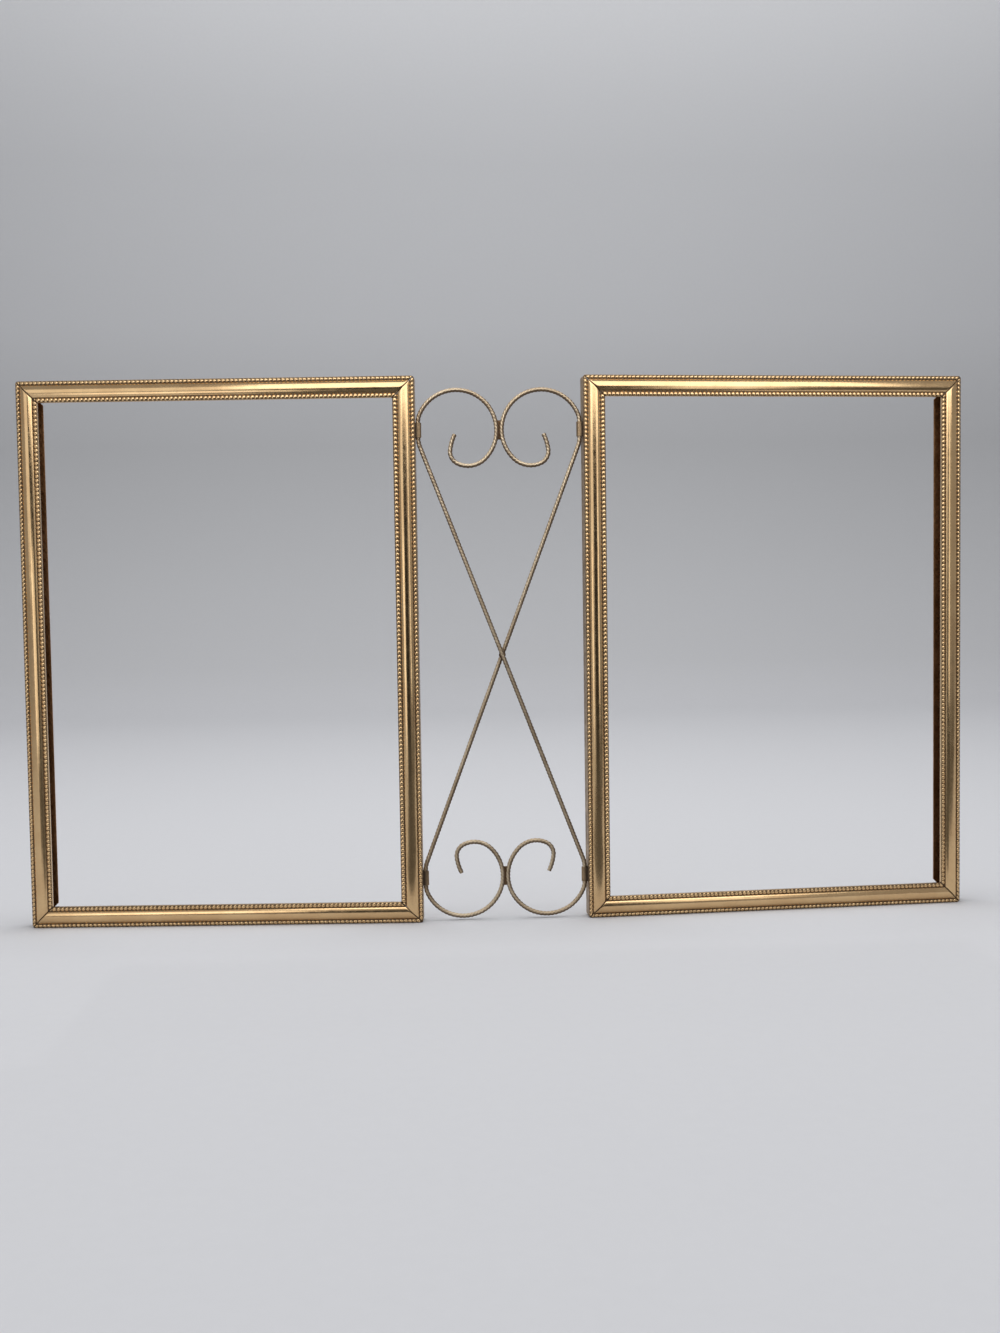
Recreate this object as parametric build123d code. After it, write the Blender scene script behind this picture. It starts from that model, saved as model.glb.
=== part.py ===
from build123d import *
import os
from math import acos, asin, atan2, cos, degrees, hypot, radians, sin, sqrt, tan

# Hinged double photo frame: two mitred frames rolled from beaded brass strip, hung on
# the two sides of a scroll bent from two crossed wires.
# Millimetres. X runs along the pair, Y runs from front to back, Z runs up.
# The origin is at the bottom centre of the whole object.

# Driving dimensions of one frame
frame_width = 131.3
frame_height = 182.0
frame_depth = 6.4
rest_turn_deg = 3.5

# Strip that the rails are rolled from
sheet = 0.5
face_width = 7.2
edge_land = 0.06
outer_bead_width = 1.25
inner_bead_width = 1.5
bead_rise = 0.42
crease_width = 0.1
dome_rise = 0.9
lip_hem = 0.9
top_edge_turn = 0.9
back_flange_width = 7.2
bottom_return_width = 2.0

# Corner keys, nested under the dome
key_thickness = 0.7
key_width = 3.0
key_reach = 16.0
key_end_radius = 1.0
key_clearance = 0.02

# Scroll wires, drawn with flat sides fine enough to read as round
wire_diameter = 1.6
wire_sides = 14
loop_radius = 13.3
loop_rise = 74.8
side_flattening = 0.55
meeting_gap = 0.1
crossing_gap = 0.05
panel_drop = 1.55
pin_length = 5.2
pin_top_bend_radius = 6.5
pin_bottom_bend_radius = 8.0
strand_straight = 8.0
strand_bend_radius = 150.0
curl_radii = (8.15, 4.35, 16.5)
loop_overrun_deg = 44.5
curl_turns_deg = (70.0, 73.0, 19.0)

# Hinge straps
strap_thickness = 0.2
strap_flange_reach = 2.4
strap_end_margin = 0.2
pin_clearance = 0.06
pin_wall_gap = 0.15

# Brazed joints of the scroll
braze_width = 1.2
braze_depth = 1.0
braze_height = 6.4
crossing_braze_radius = 1.25

# Sizes that follow from the ones above
wire_radius = wire_diameter / 2
dome_width = face_width - 2 * edge_land - outer_bead_width - inner_bead_width - 2 * crease_width
outer_bead_start = edge_land
dome_start = outer_bead_start + outer_bead_width + crease_width
dome_middle = dome_start + dome_width / 2
inner_bead_start = dome_start + dome_width + crease_width
dome_radius = ((dome_width / 2) ** 2 + dome_rise**2) / (2 * dome_rise)
hollow_radius = dome_radius - sheet
dome_axis_height = frame_depth + dome_rise - dome_radius
hollow_half_width = sqrt(hollow_radius**2 - (frame_depth - sheet - dome_axis_height) ** 2)

loop_x = loop_radius + wire_radius + meeting_gap / 2
hinge_x = loop_x + loop_radius - side_flattening
wall_offset = wire_radius + pin_wall_gap
wall_x = hinge_x + wall_offset
panel_height = frame_height / 2 - panel_drop

# Heights on the scroll, above its crossing
pin_top_bend_deg = degrees(
    acos((hinge_x - loop_x - pin_top_bend_radius) / (loop_radius - pin_top_bend_radius))
)
pin_top = loop_rise + (loop_radius - pin_top_bend_radius) * sin(radians(pin_top_bend_deg))
pin_bottom = pin_top - pin_length
pin_middle = pin_top - pin_length / 2
bend_centre_x = hinge_x - pin_bottom_bend_radius
strand_lean = atan2(bend_centre_x, pin_bottom) + asin(
    pin_bottom_bend_radius / hypot(bend_centre_x, pin_bottom)
)

# How far the turned frames reach, which centres the object on its origin
rest_turn = radians(rest_turn_deg)
dome_axis_x = wall_offset + dome_middle
dome_axis_y = frame_depth / 2 - dome_axis_height
front_reach = dome_radius - dome_axis_y * cos(rest_turn) - dome_axis_x * sin(rest_turn)
back_reach = frame_depth / 2 * cos(rest_turn) + (wall_offset + frame_width) * sin(rest_turn)
centre_shift = (front_reach - back_reach) / 2


# Strip section
# Drawn with u from the outer edge of the frame inwards and v from its back forwards.
def raised_arc(start, width, base, rise):
    """An arc that stands forward of a level line of the section."""
    middle = start + width / 2
    return ThreePointArc((start, base), (middle, base + rise), (start + width, base))


def face_lines():
    """The shown side of the strip: bead row, crease, dome, crease, bead row and lip."""
    level = frame_depth
    outer_bead_end = outer_bead_start + outer_bead_width
    dome_end = dome_start + dome_width
    inner_bead_end = inner_bead_start + inner_bead_width
    return [
        Line((0, level), (outer_bead_start, level)),
        raised_arc(outer_bead_start, outer_bead_width, level, bead_rise),
        Line((outer_bead_end, level), (dome_start, level)),
        raised_arc(dome_start, dome_width, level, dome_rise),
        Line((dome_end, level), (inner_bead_start, level)),
        raised_arc(inner_bead_start, inner_bead_width, level, bead_rise),
        Line((inner_bead_end, level), (face_width, level)),
    ]


def hollow_lines():
    """The hidden side of the strip: the hem behind the lip and the hollow of the dome."""
    level = frame_depth - sheet
    hem_foot = frame_depth - lip_hem
    hem_inside = face_width - sheet
    hollow_start = dome_middle - hollow_half_width
    hollow_end = dome_middle + hollow_half_width
    hollow_top = (dome_middle, dome_axis_height + hollow_radius)
    return [
        Line((face_width, frame_depth), (face_width, hem_foot)),
        Line((face_width, hem_foot), (hem_inside, hem_foot)),
        Line((hem_inside, hem_foot), (hem_inside, level)),
        Line((hem_inside, level), (hollow_end, level)),
        ThreePointArc((hollow_end, level), hollow_top, (hollow_start, level)),
        Line((hollow_start, level), (sheet, level)),
    ]


def strip_section(wall_depth, flange_width):
    """Section with a side wall, and a flange behind it where the width isn't zero."""
    wall_foot = frame_depth - wall_depth
    if flange_width > 0:
        foot = [
            (sheet, frame_depth - sheet),
            (sheet, sheet),
            (flange_width, sheet),
            (flange_width, 0),
            (0, 0),
            (0, frame_depth),
        ]
    else:
        foot = [
            (sheet, frame_depth - sheet),
            (sheet, wall_foot),
            (0, wall_foot),
            (0, frame_depth),
        ]
    edges = face_lines() + hollow_lines() + [Polyline(*foot)]
    return make_face(Curve() + edges)


# Rails
# Each is drawn as a bottom rail, running along X with its inner edge up.
def mitred_rail(length, section):
    """A length of strip with both ends cut at 45 degrees towards its inner edge."""
    section_plane = Plane(
        origin=(0, frame_depth / 2, 0), x_dir=(0, 0, 1), z_dir=(1, 0, 0)
    )
    bar = extrude(section_plane * section, length)
    blank = max(face_width, back_flange_width) + sheet
    outline = Polyline(
        (0, 0),
        (length, 0),
        (length - blank, blank),
        (blank, blank),
        close=True,
    )
    thick = frame_depth + 2 * dome_rise
    wedge = extrude(Plane.XZ * make_face(outline), thick, both=True)
    return bar & wedge


def side_rail():
    return mitred_rail(frame_height, strip_section(frame_depth, back_flange_width))


def bottom_rail():
    return mitred_rail(frame_width, strip_section(frame_depth, bottom_return_width))


def top_rail():
    return mitred_rail(frame_width, strip_section(top_edge_turn, 0))


# Corner keys
# Flat angles that lie in the hollow of the dome and carry one mitre each.
def corner_key():
    near = dome_middle - key_width / 2
    far = dome_middle + key_width / 2
    outline = Polyline(
        (near, near),
        (key_reach, near),
        (key_reach, far),
        (far, far),
        (far, key_reach),
        (near, key_reach),
        close=True,
    )
    plate = make_face(outline)
    ends = plate.vertices().filter_by(lambda v: max(v.X, v.Y) > key_reach - key_end_radius)
    plate = fillet(ends, key_end_radius)
    shoulder = sqrt(hollow_radius**2 - (key_width / 2) ** 2)
    key_front = frame_depth / 2 - dome_axis_height - shoulder + key_clearance
    seat = Plane(origin=(0, key_front, 0), x_dir=(1, 0, 0), z_dir=(0, -1, 0))
    return seat * extrude(plate, -key_thickness)


# Hinge straps
# A strap folded round the upright stretch of the wire, its flanges brazed to the wall.
def hinge_strap():
    bore = wire_radius + pin_clearance
    outside = bore + strap_thickness
    flange_face = wall_offset - strap_thickness
    reach = strap_flange_reach
    edges = [
        Polyline((wall_offset, -bore), (wall_offset, -reach), (flange_face, -reach)),
        Polyline((flange_face, -reach), (flange_face, -outside), (0, -outside)),
        ThreePointArc((0, -outside), (-outside, 0), (0, outside)),
        Polyline((0, outside), (flange_face, outside), (flange_face, reach)),
        Polyline((flange_face, reach), (wall_offset, reach), (wall_offset, bore)),
        Line((wall_offset, bore), (0, bore)),
        ThreePointArc((0, bore), (-bore, 0), (0, -bore)),
        Line((0, -bore), (wall_offset, -bore)),
    ]
    height = pin_length - 2 * strap_end_margin
    strap = extrude(make_face(Curve() + edges), height / 2, both=True)
    return Pos(hinge_x, 0, 0) * strap


# Scroll wires
# Drawn in the plane of the scroll with x across, y up and z forward, its crossing at 0.
def loop_edges():
    """Bend, upright hinge pin, loop and curl of the upper left end, from the strand up."""
    lean_deg = degrees(strand_lean)
    start = (
        -bend_centre_x - pin_bottom_bend_radius * cos(strand_lean),
        pin_bottom - pin_bottom_bend_radius * sin(strand_lean),
    )
    heading = (-sin(strand_lean), cos(strand_lean))
    edges = [JernArc(start, heading, pin_bottom_bend_radius, -lean_deg)]
    edges.append(Line((-hinge_x, pin_bottom), (-hinge_x, pin_top)))
    loop_turn_deg = 180 - pin_top_bend_deg + loop_overrun_deg
    radii = (pin_top_bend_radius, loop_radius) + curl_radii
    turns_deg = (pin_top_bend_deg, loop_turn_deg) + curl_turns_deg
    for radius, turn_deg in zip(radii, turns_deg):
        last = edges[-1]
        edges.append(JernArc(last @ 1, last % 1, radius, -turn_deg))
    return edges


def wire_path():
    """One whole wire, from the upper left curl to the lower right one."""
    upper = loop_edges()
    start = upper[0] @ 0
    inward = upper[0] % 0 * -1
    knee = start + inward * strand_straight
    crossing = Vector(0, 0, wire_radius + crossing_gap / 2)
    points = [start, knee, crossing, Vector(-knee.X, -knee.Y), Vector(-start.X, -start.Y)]
    strand = FilletPolyline(*points, radius=strand_bend_radius)
    lower = [edge.rotate(Axis.Z, 180) for edge in upper]
    return Wire(upper + strand.edges() + lower)


def scroll_wire():
    path = wire_path()
    section = Plane(origin=path @ 0, z_dir=path % 0) * RegularPolygon(wire_radius, wire_sides)
    wire = sweep(section, path=path)
    volume_share = wire.volume / (path.length * section.area)
    print("wire length", round(path.length, 2), "volume share", round(volume_share, 5))
    return Plane.XZ * wire


# Brazed joints
def loop_braze(wires, height):
    """The metal that fills the narrow between the two loops where they meet."""
    block = Pos(0, 0, height) * Box(braze_width, braze_depth, braze_height)
    for wire in wires:
        block = block - wire
    return block


def crossing_braze(wires):
    blob = Sphere(crossing_braze_radius)
    for wire in wires:
        blob = blob - wire
    return blob


# Assembly
def right_frame():
    """The right frame, flat, with its bottom hinge-side corner at the wall's foot."""
    rail = side_rail()
    key = corner_key()
    width = frame_width
    height = frame_height
    pieces = {
        "bottom_rail": bottom_rail(),
        "top_rail": Pos(width, 0, height) * Rot(0, 180, 0) * top_rail(),
        "hinge_side_rail": Pos(0, 0, height) * Rot(0, 90, 0) * rail,
        "outer_side_rail": Pos(width, 0, 0) * Rot(0, -90, 0) * rail,
        "corner_key_bottom_hinge_side": key,
        "corner_key_bottom_outer_side": Pos(width, 0, 0) * Rot(0, -90, 0) * key,
        "corner_key_top_outer_side": Pos(width, 0, height) * Rot(0, 180, 0) * key,
        "corner_key_top_hinge_side": Pos(0, 0, height) * Rot(0, 90, 0) * key,
    }
    pieces = {name: Pos(wall_x, 0, 0) * piece for name, piece in pieces.items()}
    strap = hinge_strap()
    pieces["upper_hinge_strap"] = Pos(0, 0, panel_height + pin_middle) * strap
    pieces["lower_hinge_strap"] = Pos(0, 0, panel_height - pin_middle) * strap
    return pieces


def turned_back(piece):
    """A right-hand piece, turned back about its hinge to where the pair stands."""
    hinge = Axis((hinge_x, 0, 0), (0, 0, 1))
    return piece.rotate(hinge, rest_turn_deg)


def scroll_panel():
    falling = scroll_wire()
    rising = Rot(0, 0, 180) * falling
    wires = (falling, rising)
    pieces = {
        "scroll_wire_front": falling,
        "scroll_wire_rear": rising,
        "upper_loop_braze": loop_braze(wires, loop_rise),
        "lower_loop_braze": loop_braze(wires, -loop_rise),
        "crossing_braze": crossing_braze(wires),
    }
    return {name: Pos(0, 0, panel_height) * piece for name, piece in pieces.items()}


def whole_object():
    nodes = scroll_panel()
    for name, piece in right_frame().items():
        turned = turned_back(piece)
        nodes["right_" + name] = turned
        nodes["left_" + name] = mirror(turned, about=Plane.YZ)
    return {name: Pos(0, centre_shift, 0) * node for name, node in nodes.items()}


os.makedirs("parts", exist_ok=True)
for node_name, node in whole_object().items():
    export_step(node, "parts/" + node_name + ".step")
print("hinge axes at x", round(hinge_x, 3), "y", round(centre_shift, 3))
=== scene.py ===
import math
import random

import bpy
import numpy as np
from mathutils import Matrix, Vector, noise
from mathutils.geometry import tessellate_polygon


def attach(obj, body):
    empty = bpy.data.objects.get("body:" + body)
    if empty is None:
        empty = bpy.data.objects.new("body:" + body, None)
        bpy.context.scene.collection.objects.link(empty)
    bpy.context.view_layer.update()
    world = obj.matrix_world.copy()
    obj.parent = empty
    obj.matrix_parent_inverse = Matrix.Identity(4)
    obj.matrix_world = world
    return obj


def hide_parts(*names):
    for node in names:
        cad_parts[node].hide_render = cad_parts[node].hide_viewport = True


# Hinged double photo frame: beaded brass frames on a scroll of two twisted wires.
# The frame gives the bodies. Lengths are in millimetres until a mesh is made, and from
# the materials on they are in metres.
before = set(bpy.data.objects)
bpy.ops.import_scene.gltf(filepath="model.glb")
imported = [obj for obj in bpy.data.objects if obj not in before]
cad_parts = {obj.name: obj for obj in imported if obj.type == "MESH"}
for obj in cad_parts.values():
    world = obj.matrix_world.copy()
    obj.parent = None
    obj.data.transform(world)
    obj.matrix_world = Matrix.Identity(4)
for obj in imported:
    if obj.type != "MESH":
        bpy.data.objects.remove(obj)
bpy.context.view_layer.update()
MM = 0.001

# Sizes shared with the part's source
FRAME_WIDTH, FRAME_HEIGHT, FRAME_DEPTH = 131.3, 182.0, 6.4
REST_TURN = math.radians(3.5)
SHEET, FACE_WIDTH, EDGE_LAND = 0.5, 7.2, 0.06
OUTER_BEAD, INNER_BEAD, BEAD_RISE, CREASE = 1.25, 1.5, 0.42, 0.1
DOME_RISE, LIP_HEM, TOP_EDGE_TURN = 0.9, 0.9, 0.9
BACK_FLANGE, BOTTOM_RETURN = 7.2, 2.0
WIRE_RADIUS, LOOP_RADIUS, LOOP_RISE = 0.8, 13.3, 74.8
SIDE_FLATTENING, MEETING_GAP, CROSSING_GAP, PANEL_DROP = 0.55, 0.1, 0.05, 1.55
PIN_LENGTH, PIN_TOP_RADIUS, PIN_BOTTOM_RADIUS = 5.2, 6.5, 8.0
CURL_RADII, CURL_TURNS = (8.15, 4.35, 16.5), (70.0, 73.0, 19.0)
LOOP_OVERRUN, STRAND_STRAIGHT, STRAND_BEND = 44.5, 8.0, 150.0
PIN_WALL_GAP = 0.15
BRAZE_HEIGHT, CROSSING_BLOB = 6.4, 1.25

# Sizes that follow from them
DOME_WIDTH = FACE_WIDTH - 2 * EDGE_LAND - OUTER_BEAD - INNER_BEAD - 2 * CREASE
DOME_START = EDGE_LAND + OUTER_BEAD + CREASE
DOME_END = DOME_START + DOME_WIDTH
DOME_MIDDLE = DOME_START + DOME_WIDTH / 2
INNER_START = DOME_END + CREASE
DOME_RADIUS = ((DOME_WIDTH / 2) ** 2 + DOME_RISE**2) / (2 * DOME_RISE)
DOME_AXIS = FRAME_DEPTH + DOME_RISE - DOME_RADIUS
HOLLOW_RADIUS = DOME_RADIUS - SHEET
HOLLOW_HALF = math.sqrt(HOLLOW_RADIUS**2 - (FRAME_DEPTH - SHEET - DOME_AXIS) ** 2)
LOOP_X = LOOP_RADIUS + WIRE_RADIUS + MEETING_GAP / 2
HINGE_X = LOOP_X + LOOP_RADIUS - SIDE_FLATTENING
WALL_OFFSET = WIRE_RADIUS + PIN_WALL_GAP
PANEL_HEIGHT = FRAME_HEIGHT / 2 - PANEL_DROP
FRONT_REACH = (
    DOME_RADIUS
    - (FRAME_DEPTH / 2 - DOME_AXIS) * math.cos(REST_TURN)
    - (WALL_OFFSET + DOME_MIDDLE) * math.sin(REST_TURN)
)
BACK_REACH = (
    FRAME_DEPTH / 2 * math.cos(REST_TURN)
    + (WALL_OFFSET + FRAME_WIDTH) * math.sin(REST_TURN)
)
CENTRE_SHIFT = (FRONT_REACH - BACK_REACH) / 2

# Fine detail of the strip's section
EDGE_ROUND, EDGE_DROP = 0.16, 0.05
# Painted shade along the outer edge: its strength, the edge shade it starts from and how far in it
# reaches; then the creases' drop and how far their darkening reaches onto the dome.
EDGE_SHADE, EDGE_SHADE_START, EDGE_SHADE_REACH = 1.05, 0.1, 0.28
CREASE_DROP, CREASE_DARK_REACH = 0.07, 0.16
LIP_ROUND, HEM_ROUND, TIP_ROUND, FOLD_ROUND = 0.13, 0.12, 0.07, 0.45
INSIDE_CHAMFER, HEM_CHAMFER, FOOT_CHAMFER = 0.3, 0.05, 0.06
DOME_COLUMNS, HOLLOW_COLUMNS, BEAD_COLUMNS = 18, 8, 8
FLANGE_COLUMN_PITCH, WALL_TOP_DROP = 0.3, 0.8

# The face's lean, and how far it is sunk, falls off to both sides, waves and twists.
# The face is all that lies less than FACE_REACH below the front of the strip.
FACE_LEAN = math.tan(math.radians(6.0))
FACE_REACH, FACE_SINK, FACE_FALL = 0.3, 0.035, 0.006
FACE_WAVE, FACE_WAVE_LENGTH = 0.012, 21.0
FACE_TWIST, FACE_TWIST_LENGTH = 0.008, 17.0

# Beads. BEAD_ROWS are shares of the pitch, where each bead has its points.
BEAD_PITCH, BEAD_SLANT, BEAD_STRAY = 1.41, 0.35, 0.035
INNER_BEAD_SLANT = -0.4 * BEAD_SLANT
BEAD_OVERLAP, BEAD_FILL, BEAD_SIZE_LOSS = 1.02, 0.86, 0.16
BEAD_ROWS = (-0.5, -0.41, -0.27, -0.1, 0.1, 0.27, 0.41)
BEAD_FOOT_DROP = 0.05
# Painted shade in the gaps between beads: the fullness below which a gap is fully shaded, and over
# how much it fades.
BEAD_SHADE_FULLNESS, BEAD_SHADE_REACH = 0.30, 0.36

# Lines of points along a rail
ROW_PITCHES = {"dome": BEAD_PITCH, "flange": 0.32, "plain": 4 * BEAD_PITCH, "back": 4 * BEAD_PITCH}
NEAR_MITRE = (0.0, 0.08, 0.2, 0.36, 0.8)
BEAD_CLEARANCE, ROW_CLEARANCE, SAME_ROW = 0.05, 0.3, 0.06

# Mitres, corners and the flange's dots, two staggered rows of them as (u, share of the pitch)
MITRE_GAP, MITRE_DROP, MITRE_DROP_REACH, MITRE_SOIL = 0.10, 0.28, 0.38, 2.4
CORNER_ROUND = 0.9
FLANGE_DOT_PITCH, FLANGE_DOT_RADIUS, FLANGE_DOT_RISE = 3.2, 0.4, 0.13
FLANGE_DOT_ROWS = ((5.55, 0.0), (6.45, 0.5))

# Material slots of a rail
GILT, INSIDE, WORN_BACK = range(3)


def smooth(t):
    """Rises from 0 to 1 as t does, level at both ends."""
    t = min(max(t, 0.0), 1.0)
    return t * t * (3 - 2 * t)


def wander(position, wavelength, seed):
    """A smooth value between about -1 and 1 that changes along a length."""
    return noise.noise(Vector((position / wavelength, seed * 7.31, seed * 3.17)))


# Meshes
def mesh_piece(name, points, faces, materials, face_slots=None, values=None, sharp=50.0):
    """A smooth-shaded object from points in millimetres in the row frame."""
    mesh = bpy.data.meshes.new(name)
    mesh.from_pydata([tuple(c * MM for c in p) for p in points], [], faces)
    for material in materials:
        mesh.materials.append(material)
    mesh.polygons.foreach_set("use_smooth", [True] * len(mesh.polygons))
    if face_slots is not None:
        mesh.polygons.foreach_set("material_index", face_slots)
    for key, numbers in (values or {}).items():
        layer = mesh.attributes.new(key, "FLOAT", "POINT")
        layer.data.foreach_set("value", np.asarray(numbers, np.float32))
    mesh.validate()
    mesh.update()
    mesh.set_sharp_from_angle(angle=math.radians(sharp))
    piece = bpy.data.objects.new(name, mesh)
    bpy.context.scene.collection.objects.link(piece)
    return piece


def tube_faces(rings, turned=False):
    """Quads between rings of points and a face over each end; turned swaps their sides."""
    faces = []
    for one, two in zip(rings, rings[1:]):
        for a, b, c, d in zip(one, one[1:] + one[:1], two[1:] + two[:1], two):
            faces.append((a, d, c, b) if turned else (a, b, c, d))
    first, last = rings[0], rings[-1]
    return faces + ([first, last[::-1]] if turned else [first[::-1], last])


# Section of the strip
# u runs from the outer edge of the frame inwards and v from its back forwards.
def arc_points(centre, radius, start, end, count):
    """Points on an arc of the section, angles in degrees."""
    angles = [math.radians(start + (end - start) * k / count) for k in range(count + 1)]
    return [(centre[0] + radius * math.cos(a), centre[1] + radius * math.sin(a)) for a in angles]


class Column:
    """One line of the strip that runs along it, at (u, v) of the section.

    How dark a point is goes from 0, where the metal is bright, to 1, where it is darkest:
    soil at the mitres and in the hollows, darker creases, and painted shade in bead gaps and at the
    outer edge.
    """

    def __init__(self, u, v, kind, recess, inside=False):
        self.u, self.v, self.kind, self.recess, self.inside = u, v, kind, recess, inside
        self.least_recess = 0.0


def columns_at(places, kind, recess, inside=False):
    return [Column(u, v, kind, recess, inside) for u, v in places]


def bead_columns(start, width, kind):
    columns = []
    for k in range(BEAD_COLUMNS + 1):
        angle = math.pi * k / BEAD_COLUMNS
        columns.append(Column(start + width * (1 - math.cos(angle)) / 2, FRAME_DEPTH, kind, 1.0))
    return columns


def face_columns(edge_recess):
    """The shown side: edge, bead row, crease, dome, crease, bead row and lip."""
    edge = arc_points(
        (EDGE_ROUND, FRAME_DEPTH - EDGE_ROUND - EDGE_DROP), EDGE_ROUND, 180, 105, 4
    )
    outer_row = bead_columns(EDGE_LAND, OUTER_BEAD, "outer_bead")
    # Painted shade on the bead row next to the outer edge, strongest on the bottom rails, where it
    # stands for their contact shadow.
    for column in outer_row:
        near_edge = 1 - smooth((column.u - EDGE_LAND) / EDGE_SHADE_REACH)
        column.least_recess = smooth(edge_recess - EDGE_SHADE_START) * EDGE_SHADE * near_edge
    half = math.degrees(math.asin(DOME_WIDTH / 2 / DOME_RADIUS))
    dome = []
    for u, v in arc_points((DOME_MIDDLE, DOME_AXIS), DOME_RADIUS, 90 + half, 90 - half, DOME_COLUMNS):
        # The dome darkens towards the creases.
        from_crease = min(u - DOME_START, DOME_END - u)
        dome.append(Column(u, v, "dome", 1 - smooth(from_crease / CREASE_DARK_REACH)))
    outer_crease, inner_crease = (
        Column(start - CREASE / 2, FRAME_DEPTH - CREASE_DROP, "dome", 1.0)
        for start in (DOME_START, INNER_START)
    )
    inner_row = bead_columns(INNER_START, INNER_BEAD, "inner_bead")
    lip = arc_points((FACE_WIDTH - LIP_ROUND, FRAME_DEPTH - LIP_ROUND), LIP_ROUND, 60, 0, 3)
    return (
        columns_at(edge, "plain", edge_recess) + outer_row + [outer_crease] + dome
        + [inner_crease] + inner_row + columns_at(lip, "plain", 0.2)
    )


def hollow_columns():
    """The hidden side: the hem behind the lip and the hollow of the dome."""
    level = FRAME_DEPTH - SHEET
    foot = FRAME_DEPTH - LIP_HEM
    inner = FACE_WIDTH - SHEET
    hem = arc_points((FACE_WIDTH - HEM_ROUND, foot + HEM_ROUND), HEM_ROUND, 0, -90, 2)
    half = math.degrees(math.asin(HOLLOW_HALF / HOLLOW_RADIUS))
    hollow = arc_points(
        (DOME_MIDDLE, DOME_AXIS), HOLLOW_RADIUS, 90 - half, 90 + half, HOLLOW_COLUMNS
    )
    return (
        columns_at(hem, "plain", 0.3)
        + columns_at([(inner + HEM_CHAMFER, foot)], "back", 0.4, True)
        + columns_at([(inner, foot + HEM_CHAMFER)], "back", 0.6, True)
        + columns_at([(inner, level)], "back", 0.8, True)
        + columns_at(hollow, "back", 0.3, True)
        + columns_at([(SHEET, level)], "back", 0.8, True)
    )


def flange_columns(width):
    """The flange behind: its inside, its rounded edge, and the fold that leads to the wall."""
    corner = SHEET + INSIDE_CHAMFER
    tip = width - TIP_ROUND
    steps = max(2, round((width - 1.0) / FLANGE_COLUMN_PITCH))
    run = [(corner + (tip - SHEET - INSIDE_CHAMFER) * k / steps, SHEET) for k in range(1, steps + 1)]
    fold = arc_points((FOLD_ROUND, FOLD_ROUND), FOLD_ROUND, 270, 180, 5)
    return (
        columns_at([(SHEET, corner), (corner, SHEET)], "back", 0.6, True)
        + columns_at(run, "flange", 0.6, True)
        + columns_at(arc_points((tip, SHEET - TIP_ROUND), TIP_ROUND, 90, 0, 2), "back", 0.1, True)
        + columns_at(arc_points((tip, TIP_ROUND), TIP_ROUND, 0, -90, 2), "back", 0.1)
        + [Column(u, v, "back", 0.2 + 0.09 * k) for k, (u, v) in enumerate(fold)]
    )


def foot_columns(foot):
    """The lower edge of a wall without a flange."""
    inner = [(SHEET, foot + FOOT_CHAMFER), (SHEET - FOOT_CHAMFER, foot)]
    outer = [(FOOT_CHAMFER, foot), (0, foot + FOOT_CHAMFER)]
    return columns_at(inner, "back", 0.3, True) + columns_at(outer, "back", 0.3)


def section_columns(wall_depth, flange_width, edge_recess):
    """The closed section, as lines in order round it."""
    if flange_width > 0:
        wall, wall_recess = flange_columns(flange_width), 0.55
    else:
        wall, wall_recess = foot_columns(FRAME_DEPTH - wall_depth), 0.1
    top = Column(0, FRAME_DEPTH - WALL_TOP_DROP, "back", wall_recess)
    return face_columns(edge_recess) + hollow_columns() + wall + [top]


class Beads:
    """A row of beads: their middles along the strip and how each one differs."""

    def __init__(self, length, start, width, slant, seed):
        draw = random.Random(seed)
        self.middle, self.half_width, self.slant = start + width / 2, width / 2, slant
        count = int(length / BEAD_PITCH) + 2
        phase = draw.random() * BEAD_PITCH
        self.centres = [phase + (k - 1) * BEAD_PITCH for k in range(count)]
        self.shift = [draw.uniform(-BEAD_STRAY, BEAD_STRAY) for _ in range(count)]
        self.size = [1 - BEAD_SIZE_LOSS * draw.random() ** 2 for _ in range(count)]
        self.first = self.centres[0] - BEAD_PITCH / 2

    def rows(self, u):
        """Places along the strip that give each bead its points."""
        lean = self.slant * (u - self.middle)
        return [c + lean + r * BEAD_PITCH for c in self.centres for r in BEAD_ROWS]

    def fullness(self, s, u):
        """How high the row stands here, from 0 in the gap's foot to 1 on a crest."""
        s = s - self.slant * (u - self.middle)
        k = min(max(int((s - self.first) / BEAD_PITCH), 0), len(self.centres) - 1)
        across = (u - self.middle) / self.half_width / BEAD_FILL
        best = 0.0
        for j in (k - 1, k, k + 1):
            if 0 <= j < len(self.centres):
                along = (s - self.centres[j] - self.shift[j]) / (BEAD_PITCH / 2 * BEAD_OVERLAP)
                rest = 1 - across * across - along * along
                if rest > 0:
                    best = max(best, math.sqrt(rest) * self.size[j])
        return best


# Rails
def fill_between(a, b, a_rows, b_rows):
    """Faces between two lines of points, quads where their rows agree."""
    faces = []
    i = j = 0
    while i < len(a) - 1 or j < len(b) - 1:
        a_next = a_rows[i + 1] if i < len(a) - 1 else math.inf
        b_next = b_rows[j + 1] if j < len(b) - 1 else math.inf
        if abs(a_next - b_next) <= SAME_ROW or (i == len(a) - 2 and j == len(b) - 2):
            faces.append((a[i], a[i + 1], b[j + 1], b[j]))
            i, j = i + 1, j + 1
        elif a_next < b_next:
            faces.append((a[i], a[i + 1], b[j]))
            i += 1
        else:
            faces.append((a[i], b[j + 1], b[j]))
            j += 1
    return faces


def mitre_cap(points, ring, flip):
    """Triangles that close a rail's end, all facing out of it."""
    flat = [Vector((points[i][2], points[i][1], 0)) for i in ring]
    faces = []
    for a, b, c in tessellate_polygon([flat]):
        one, two, three = ring[a], ring[b], ring[c]
        area = cross_2d(points[one], points[two], points[three])
        faces.append((one, two, three) if (area < 0) != flip else (one, three, two))
    return faces


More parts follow.
